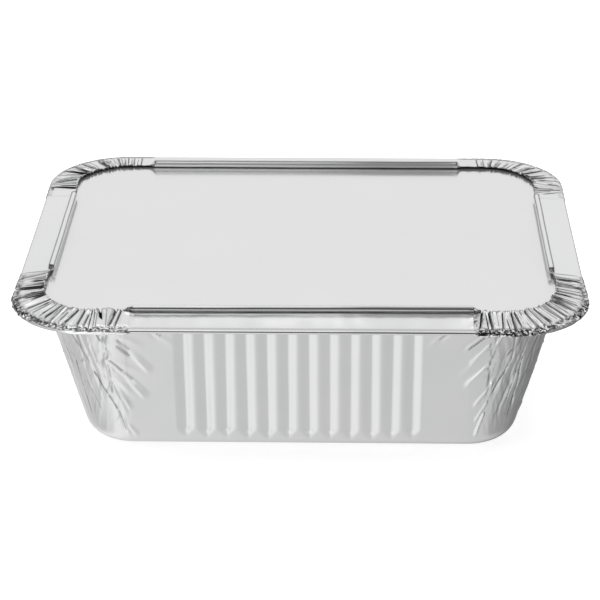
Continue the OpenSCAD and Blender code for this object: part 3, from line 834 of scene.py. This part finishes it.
    # a crimp runs along the foot of the bead, on its outer side
    foot = (1 - crush) * np.where(y_mid > 40, 0, 0.45 + 0.55 * smooth(-y_mid, 46, 50))
    steps = (0.08, 0.16, 0.24, 0.32, 0.40, 0.48, 0.56, 0.64, 0.72, 0.80, 0.86, 0.9125, 0.9375, 0.965, 1.0)
    crimp = {0.86: 0.10, 0.9125: 0.27, 0.9375: 0.12, 0.965: 0.0}
    for f in steps:
        r = r_start + (r_end - r_start) * f
        base = z_edge + (z_in - z_edge) * (f ** 1.12)
        t = np.clip(r / 8.6, 0, 1) ** 0.8
        on = smooth(r, r_on - 0.6, r_on + 0.5) * (1 - smooth(r, r_off + 0.1, r_off + 1.4))
        h = high * t - deep * on * (0.7 + 0.3 * t)
        z = base + pleat * (h + (0.14 + 0.20 * front) * smooth(r, 0.7, 1.8) * (1 - 0.5 * f) + 0.12 * f)
        z = z + pleat * tooth * smooth(r, 6.6, 8.8)
        z = z + foot * crimp.get(f, 0.0)
        z = z + gather * 0.38 * facets2(mid / 1.15, r / 1.3, 41) * smooth(r, 1.0, 2.5)
        near = np.clip(1 - (r - 0.5) / 1.3, 0, 1)
        z = z + hem * near * (0.12 * facets2(mid / 0.5, r / 0.6, 17))
        z = z + (1 - pleat) * wave * (f ** 2 * (1 - f) * 6.75)
        z = np.maximum(z, LID_Z0 + LID_T + T / 2 + 0.03 + 0.06 * f)
        last_z = z
        # painted shade: in the pleats' creases, in dark spots over the front gathers and in specks along the crumpled
        # hem
        crease_shade = pleat * dark * on * (0.75 + 0.25 * np.clip(noise2(mid * 3.0, r / 1.1, 20) + 0.6, 0, 1))
        spot = gather * np.clip(1.6 * facets2(mid / 0.8, r / 0.9, 42) - 0.5, 0, 1) * smooth(r, 2.0, 4.0)
        specks = np.clip(2.2 * facets2(mid / 0.62 + 0.5 * r, r / 0.45, 43) + 0.15, 0, 1) * (1 - smooth(r, 0.7, 1.9))
        spot = np.maximum(spot, 0.4 * hem * specks)
        if f == steps[0]:
            # painted shade along the front side's outer bend
            spot = np.maximum(spot, 0.34 * (1 - pleat) * smooth(-y_mid, 49, 56))
        # where painted dark specks go: along the crumpled hem's edge and over the gathers
        edge_speckle_mask = hem * (1 - smooth(r, 1.1, 1.9))
        put(r, z, pleat * 0.05 * noise2(mid / 0.8, r / 1.5, 19), np.maximum(crease_shade, 0.8 * spot), np.maximum(edge_speckle_mask, 0.3 * gather))
    # the bead: a roll along the sides, pinched to a lip in the corners, where it gets painted shade
    n_b = 18
    for k in range(1, n_b + 1):
        a = -pi / 2 + math.radians(325) * k / n_b
        tall = (BEAD_R + oval) * (1 - crush) + 0.045 * crush
        wide = BEAD_R * (1 - crush) + 0.13 * crush
        r = r_end + wide * math.cos(a)
        z = last_z + tall * (1 + math.sin(a))
        z = z + (1 - crush) * 0.03 * noise2(mid / 7.0, 2.5, 35)
        r = r + (1 - crush) * 0.05 * noise2(mid / 9.0, 3.5, 36)
        if k >= n_b - 1:
            z = z + 0.05 * noise2(mid / 3.0, 4.5, 37) * (1 - crush)
        put(r, z, 0.0, 0.8 * pleat * dark)
    m = np.array(rows)
    nn = grid_normals(m)
    th = np.full(len(m), T)
    th[0:2] = 0.8 * T
    th[-n_b:] = 0.8 * T
    outer = m + nn * (th / 2)[:, None, None]
    inner = m - nn * (th / 2)[:, None, None]
    ro = len(m)
    verts = np.concatenate([outer.reshape(-1, 3), inner.reshape(-1, 3)])
    faces = ring_faces(ro, n, 0, False).tolist()
    faces += ring_faces(ro, n, ro * n, True).tolist()
    j = np.arange(n)
    j1 = (j + 1) % n
    faces += np.stack([(ro - 1) * n + j, (ro - 1) * n + j1, ro * n + (ro - 1) * n + j1, ro * n + (ro - 1) * n + j], -1).tolist()
    faces += np.stack([j1, j, ro * n + j, ro * n + j1], -1).tolist()
    shade = np.array(shades)
    shade = np.concatenate([shade.ravel(), shade.ravel()])
    fine = np.array(speckle_shades)
    fine = np.concatenate([fine.ravel(), fine.ravel()])
    return new_object("foil_tray_rim", verts, faces, smooth_angle=30, painted_shade=shade, crimped=fine)


# ---------------------------------------------------------------------------
# The lid
# ---------------------------------------------------------------------------
def build_lid():
    inset = T + 0.35
    n_arc, n_x, n_y = 24, 60, 48
    pts, nrm = [], []
    for k in range(4):
        hx = RCX if k % 2 == 0 else RCY
        hy = RCY if k % 2 == 0 else RCX
        n_s = n_x if k % 2 == 0 else n_y
        turn = k * pi / 2
        ca, sa = math.cos(turn), math.sin(turn)
        for i in range(n_s):
            lx, ly = -hx + 2 * hx * i / n_s, -hy
            pts.append((ca * lx - sa * ly, sa * lx + ca * ly))
            nrm.append((sa, -ca))
        for i in range(n_arc):
            a = pi / 2 * i / n_arc
            lx, ly = hx, -hy
            pts.append((ca * lx - sa * ly, sa * lx + ca * ly))
            nx, ny = math.sin(a), -math.cos(a)
            nrm.append((ca * nx - sa * ny, sa * nx + ca * ny))
    pts, nrm = np.array(pts), np.array(nrm)
    n = len(pts)
    edge = pts + nrm * (RIM_R - inset)
    rows, kinds = [], []

    def loop(scale, out, z, kind, bump=0.0):
        xy = (pts + nrm * (RIM_R - inset + out)) * scale
        zz = np.full(n, z)
        if bump:
            d = np.minimum(1, np.maximum(0, 1 - np.abs(scale)) * 3)
            zz = zz + bump * d * (noise2(xy[:, 0] / 38 + 3, xy[:, 1] / 30, 61) * 0.8 + noise2(xy[:, 0] / 13, xy[:, 1] / 12, 62) * 0.18)
        rows.append(np.column_stack([xy, zz]))
        kinds.append(kind)

    z0, z1 = LID_Z0 + 0.0, LID_Z0 + LID_T
    for sc in (0.02, 0.25, 0.5, 0.75, 0.93):
        loop(sc, 0, z0, 1)
    loop(1, -0.05, z0, 1)
    loop(1, -0.01, z0 + 0.05, 1)
    loop(1, 0, z0 + 0.15, 1)
    loop(1, 0, z1 - 0.14, 1)
    loop(1, -0.02, z1 - 0.05, 0)
    loop(1, -0.08, z1, 0)
    for sc in np.linspace(0.985, 0.03, 40):
        loop(sc, 0, z1, 0, 0.05)
    m = np.array(rows)
    verts = m.reshape(-1, 3)
    faces = ring_faces(len(m), n, 0, False).tolist()
    slots = np.repeat(np.array(kinds[:-1]), n).tolist()
    faces.append(list(range(n))[::-1])
    slots.append(1)
    faces.append([(len(m) - 1) * n + k for k in range(n)])
    slots.append(0)
    return new_object("foil_board_lid", verts, faces, slots=slots, smooth_angle=40)


# ---------------------------------------------------------------------------
# Materials
# ---------------------------------------------------------------------------
def node_tree(name):
    mat = bpy.data.materials.new(name)
    mat.use_nodes = True
    nt = mat.node_tree
    nt.nodes.clear()
    out = nt.nodes.new("ShaderNodeOutputMaterial")
    bsdf = nt.nodes.new("ShaderNodeBsdfPrincipled")
    nt.links.new(bsdf.outputs[0], out.inputs[0])
    return mat, nt, bsdf


def add(nt, kind, **inputs):
    n = nt.nodes.new(kind)
    for k, v in inputs.items():
        if k.startswith("_"):
            setattr(n, k[1:], v)
        else:
            n.inputs[k.replace("__", " ")].default_value = v
    return n


def mapping(nt, scale):
    co = nt.nodes.new("ShaderNodeTexCoord")
    mp = nt.nodes.new("ShaderNodeMapping")
    mp.inputs["Scale"].default_value = scale
    nt.links.new(co.outputs["Object"], mp.inputs["Vector"])
    return mp.outputs["Vector"]


def noise_tex(nt, vec, scale, detail=3.0, rough=0.55):
    n = add(nt, "ShaderNodeTexNoise", Scale=scale, Detail=detail, Roughness=rough)
    nt.links.new(vec, n.inputs["Vector"])
    return n.outputs["Fac"]


def ramp(nt, fac, stops):
    r = nt.nodes.new("ShaderNodeValToRGB")
    e = r.color_ramp.elements
    while len(e) < len(stops):
        e.new(0.5)
    for k, (p, v) in enumerate(stops):
        e[k].position = p
        e[k].color = (*v, 1) if isinstance(v, tuple) else (v, v, v, 1)
    nt.links.new(fac, r.inputs["Fac"])
    return r.outputs["Color"]


def bump(nt, height, strength, distance, normal=None):
    b = add(nt, "ShaderNodeBump", Strength=strength, Distance=distance)
    nt.links.new(height, b.inputs["Height"])
    if normal is not None:
        nt.links.new(normal, b.inputs["Normal"])
    return b.outputs["Normal"]


def foil_material():
    mat, nt, b = node_tree("foil_bright")
    b.inputs["Metallic"].default_value = 1.0
    v1 = mapping(nt, (1, 1, 1))
    # slight clouding of the metal and rolling lines along the sheet
    cloud = noise_tex(nt, v1, 60, 3)
    metal = ramp(nt, cloud, [(0.3, (0.86, 0.865, 0.87)), (0.7, (0.90, 0.90, 0.90))])
    # painted shade: the foil's colour is darkened where the fold shade attribute is high
    painted_shade = nt.nodes.new("ShaderNodeAttribute")
    painted_shade.attribute_type = "GEOMETRY"
    painted_shade.attribute_name = "fold_painted_shade"
    fold_shade_factor = ramp(nt, painted_shade.outputs["Fac"], [(0.0, 1.0), (0.3, 0.62), (0.62, 0.28), (1.0, 0.09)])
    both = nt.nodes.new("ShaderNodeVectorMath")
    both.operation = "MULTIPLY"
    nt.links.new(metal, both.inputs[0])
    nt.links.new(fold_shade_factor, both.inputs[1])
    # painted shade: near-black specks over the crimped hem and the gathers
    crimped = nt.nodes.new("ShaderNodeAttribute")
    crimped.attribute_type = "GEOMETRY"
    crimped.attribute_name = "crimped"
    speckle_noise = noise_tex(nt, v1, 1500, 2, 0.55)
    speckle_shade_ramp = ramp(nt, speckle_noise, [(0.0, 0.03), (0.485, 0.04), (0.54, 1.0), (1.0, 1.0)])
    mix = nt.nodes.new("ShaderNodeMix")
    mix.data_type = "RGBA"
    mix.inputs["A"].default_value = (1, 1, 1, 1)
    nt.links.new(crimped.outputs["Fac"], mix.inputs["Factor"])
    nt.links.new(speckle_shade_ramp, mix.inputs["B"])
    speckled = nt.nodes.new("ShaderNodeVectorMath")
    speckled.operation = "MULTIPLY"
    nt.links.new(both.outputs[0], speckled.inputs[0])
    nt.links.new(mix.outputs["Result"], speckled.inputs[1])
    nt.links.new(speckled.outputs[0], b.inputs["Base Color"])
    lines = noise_tex(nt, mapping(nt, (60, 2600, 2600)), 1.0, 2)
    nt.links.new(ramp(nt, cloud, [(0.25, 0.17), (0.75, 0.21)]), b.inputs["Roughness"])
    soft = noise_tex(nt, v1, 420, 2)
    n1 = bump(nt, lines, 0.2, 0.0000012)
    n2 = bump(nt, soft, 0.3, 0.000012, n1)
    nt.links.new(n2, b.inputs["Normal"])
    return mat


def lid_material():
    mat, nt, b = node_tree("lid_foil_face")
    # a satin lacquered foil: part mirror, part matt
    b.inputs["Metallic"].default_value = 0.84
    v1 = mapping(nt, (1, 1, 1))
    cloud = noise_tex(nt, v1, 35, 3)
    nt.links.new(ramp(nt, cloud, [(0.3, (0.850, 0.850, 0.850)), (0.7, (0.870, 0.870, 0.870))]), b.inputs["Base Color"])
    lines = noise_tex(nt, mapping(nt, (40, 1800, 1800)), 1.0, 2)
    nt.links.new(ramp(nt, cloud, [(0.25, 0.15), (0.75, 0.19)]), b.inputs["Roughness"])
    n1 = bump(nt, lines, 0.2, 0.000001)
    nt.links.new(n1, b.inputs["Normal"])
    return mat


def board_material():
    mat, nt, b = node_tree("lid_board")
    v1 = mapping(nt, (1, 1, 1))
    fibre = noise_tex(nt, v1, 900, 4)
    nt.links.new(ramp(nt, fibre, [(0.3, (0.80, 0.79, 0.76)), (0.7, (0.90, 0.895, 0.88))]), b.inputs["Base Color"])
    b.inputs["Roughness"].default_value = 0.85
    n1 = bump(nt, fibre, 0.4, 0.00003)
    nt.links.new(n1, b.inputs["Normal"])
    return mat


def floor_material():
    mat, nt, b = node_tree("floor_pale")
    v1 = mapping(nt, (1, 1, 1))
    cloud = noise_tex(nt, v1, 6, 2)
    nt.links.new(ramp(nt, cloud, [(0.3, (0.925, 0.925, 0.925)), (0.7, (0.94, 0.94, 0.94))]), b.inputs["Base Color"])
    b.inputs["Roughness"].default_value = 0.9
    b.inputs["Specular IOR Level"].default_value = 0.2
    # a light table: it glows a little from below, which softens the shadow
    b.inputs["Emission Color"].default_value = (1, 1, 1, 1)
    b.inputs["Emission Strength"].default_value = 0.62
    return mat


foil = foil_material()
body = build_body()
body.data.materials.append(foil)
rim = build_rim()
rim.data.materials.append(foil)
lid = build_lid()
lid.data.materials.append(lid_material())
lid.data.materials.append(board_material())

for ob, node, slot in ((body, "foil_tray", "foil"), (rim, "foil_tray", "foil"), (lid, "board_lid", "lid_foil")):
    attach(ob, "root")
    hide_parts(node)

# ---------------------------------------------------------------------------
# Floor, light and camera
# ---------------------------------------------------------------------------
fm = bpy.data.meshes.new("floor")
fm.from_pydata([(-3, -3, 0), (3, -3, 0), (3, 3, 0), (-3, 3, 0)], [], [(0, 1, 2, 3)])
floor = bpy.data.objects.new("floor", fm)
scene.collection.objects.link(floor)
fm.materials.append(floor_material())
# the foil mirrors the studio's light table, which the world gives, not the floor
floor.visible_glossy = False

world = bpy.data.worlds.new("studio")
scene.world = world
world.use_nodes = True
wn = world.node_tree
wn.nodes.clear()
w_out = wn.nodes.new("ShaderNodeOutputWorld")
w_bg = wn.nodes.new("ShaderNodeBackground")
wn.links.new(w_bg.outputs[0], w_out.inputs[0])
w_co = wn.nodes.new("ShaderNodeTexCoord")
w_sep = wn.nodes.new("ShaderNodeSeparateXYZ")
wn.links.new(w_co.outputs["Generated"], w_sep.inputs[0])


def wmath(op, a, b=None, c=None):
    n = wn.nodes.new("ShaderNodeMath")
    n.operation = op
    for k, v in enumerate((a, b, c)):
        if v is None:
            continue
        if isinstance(v, (int, float)):
            n.inputs[k].default_value = v
        else:
            wn.links.new(v, n.inputs[k])
    return n.outputs[0]


def wstep(v, lo, hi, to0, to1):
    n = wn.nodes.new("ShaderNodeMapRange")
    n.interpolation_type = "SMOOTHSTEP"
    wn.links.new(v, n.inputs["Value"])
    n.inputs["From Min"].default_value = lo
    n.inputs["From Max"].default_value = hi
    n.inputs["To Min"].default_value = to0
    n.inputs["To Max"].default_value = to1
    return n.outputs["Result"]


X, Y, Z = w_sep.outputs


def wramp(fac, stops):
    """A grey ramp: stops are (place from 0 to 1, level)."""
    n = wn.nodes.new("ShaderNodeValToRGB")
    e = n.color_ramp.elements
    while len(e) < len(stops):
        e.new(0.5)
    for k, (p, v) in enumerate(stops):
        e[k].position = p
        e[k].color = (v, v, v, 1)
    wn.links.new(fac, n.inputs["Fac"])
    return n.outputs["Color"]


# A studio round the object, as its foil mirrors it. The angle runs from the
# back's horizon (0) over the top (90) and the camera's side (180) and on
# below the table (270): a bright sweep behind, a dark gap at the horizon, a
# dark camera side, and a light table below.
turn = wmath("MULTIPLY", wmath("ARCTAN2", Z, Y), 1 / (2 * pi))
turn = wmath("FRACT", wmath("ADD", turn, 1.0))
ring = wramp(turn, [(d / 360, v) for d, v in (
    (0, 0.20), (4, 0.22), (10, 0.80), (15, 0.87), (29, 0.86), (38, 0.80), (46, 0.78), (54, 0.71), (62, 0.48), (72, 0.24), (90, 0.08),
    (105, 0.05), (132, 0.04), (152, 0.07), (168, 0.20), (180, 0.26), (189, 0.44), (195, 1.05), (205, 1.05), (213, 0.66), (236, 0.67),
    (262, 0.68), (300, 0.62), (328, 0.54), (350, 0.40), (356, 0.24))])
# from left to right, below the table: the left is lighter and the right darker
across = wmath("MULTIPLY_ADD", X, 0.5, 0.5)
sides_low = wramp(across, [(0.0, 0.78), (0.14, 0.84), (0.21, 1.12), (0.27, 1.38), (0.33, 1.30), (0.47, 1.05), (0.53, 0.95), (0.72, 0.90), (0.80, 0.62), (0.87, 0.42), (1.0, 0.28)])
# above it: two tall soft boxes behind to the left and right, dark beyond them
out = wmath("ABSOLUTE", X)
sides_wide = wramp(out, [(0.0, 1.0), (0.2, 1.0), (0.34, 0.88), (0.48, 0.55), (0.53, 1.7), (0.61, 1.8), (0.66, 0.35), (0.8, 0.35), (0.9, 1.2), (1.0, 1.4)])
sides_tall = wramp(out, [(0.0, 1.0), (0.2, 1.0), (0.34, 0.88), (0.48, 0.55), (0.53, 1.7), (0.61, 1.8), (0.66, 0.3), (1.0, 0.2)])
high = wstep(Z, 0.36, 0.5, 0.0, 1.0)


def wmix(fac, a, b):
    n = wn.nodes.new("ShaderNodeMix")
    n.data_type = "RGBA"
    wn.links.new(fac, n.inputs["Factor"])
    wn.links.new(a, n.inputs["A"])
    wn.links.new(b, n.inputs["B"])
    return n.outputs["Result"]


def wmul(a, b):
    n = wn.nodes.new("ShaderNodeVectorMath")
    n.operation = "MULTIPLY"
    wn.links.new(a, n.inputs[0])
    wn.links.new(b, n.inputs[1])
    return n.outputs[0]


above = wmix(high, sides_wide, sides_tall)
below = wstep(Z, 0.05, -0.25, 0.0, 1.0)
# the camera's side is lighter on the left than on the right
fall = wramp(across, [(0.0, 1.6), (0.42, 1.6), (0.58, 0.72), (1.0, 0.72)])
even = wramp(across, [(0.0, 1.0), (1.0, 1.0)])
toward = wstep(Y, -0.7, -0.95, 0.0, 1.0)
above = wmul(above, wmix(toward, even, fall))
behind = wmix(wstep(Y, 0.2, 0.7, 0.0, 1.0), even, wramp(across, [(0.0, 1.0), (0.48, 1.0), (0.58, 0.6), (0.72, 0.45), (1.0, 0.45)]))
studio = wmul(ring, wmix(below, above, wmul(sides_low, behind)))
# two white screens stand far out to the left and right
screen = wramp(wmath("MAXIMUM", Z, 0.0), [(0.0, 0.25), (0.12, 0.74), (0.5, 0.82), (1.0, 0.6)])
far = wmath("MULTIPLY", wstep(out, 0.84, 0.92, 0.0, 1.0), wstep(Z, 0.02, 0.12, 0.0, 1.0))
wn.links.new(wmix(far, studio, screen), w_bg.inputs["Color"])
w_bg.inputs["Strength"].default_value = 1.0


def area(name, place, aim, size_x, size_y, power, glossy=True):
    ld = bpy.data.lights.new(name, "AREA")
    ld.shape = "RECTANGLE"
    ld.size, ld.size_y = size_x, size_y
    ld.energy = power
    lo = bpy.data.objects.new(name, ld)
    scene.collection.objects.link(lo)
    lo.location = place
    lo.rotation_euler = (Vector(aim) - Vector(place)).to_track_quat("-Z", "Y").to_euler()
    lo.visible_glossy = glossy
    return lo


area("softbox_top", (-0.1, 0.05, 1.1), (0, 0, 0), 1.4, 1.4, 9.0, False)
area("softbox_left", (-0.9, -0.4, 0.7), (0, 0, 0), 0.9, 0.9, 3.0, False)
area("softbox_right", (0.9, -0.4, 0.7), (0, 0, 0), 0.9, 0.9, 2.0, False)

# a soft box close above the front edge, brighter on its left, which only mirrors
for name, x0, x1, level in (("mirror_box_left", -0.088, -0.022, 0.52), ("mirror_box_mid", -0.022, 0.012, 0.41), ("mirror_box_right", 0.012, 0.050, 0.18), ("mirror_box_end", 0.050, 0.086, 0.42)):
    place = ((x0 + x1) / 2, -0.0275, 0.1269)
    box = area(name, place, (place[0], place[1] + 0.364, place[2] - 0.931), x1 - x0, 0.1235, level * 4 * (x1 - x0) * 0.1235)
    box.visible_camera = False
    box.visible_diffuse = False

# Camera: the photograph's view, worked out from the outline of the rim and base
CAM = (0.011956, -0.542532, 0.273834)
PITCH, ROLL, YAW = math.radians(24.818), math.radians(-0.2092), math.radians(-1.3488)
cam_data = bpy.data.cameras.new("camera")
cam_data.sensor_fit = "HORIZONTAL"
cam_data.sensor_width = 36.0
cam_data.lens = 2199.11 / 600 * 36.0
cam_data.clip_start, cam_data.clip_end = 0.01, 20
cam = bpy.data.objects.new("camera", cam_data)
scene.collection.objects.link(cam)
fwd = Vector((math.sin(YAW) * math.cos(PITCH), math.cos(YAW) * math.cos(PITCH), -math.sin(PITCH)))
right = Vector((math.cos(YAW), -math.sin(YAW), 0))
up = right.cross(fwd)
r2 = math.cos(ROLL) * right + math.sin(ROLL) * up
u2 = -math.sin(ROLL) * right + math.cos(ROLL) * up
m = Matrix((r2, u2, -fwd)).transposed().to_4x4()
m.translation = Vector(CAM)
cam.matrix_world = m
scene.camera = cam

scene.view_settings.view_transform = "Standard"
scene.view_settings.look = "None"

bpy.context.view_layer.update()
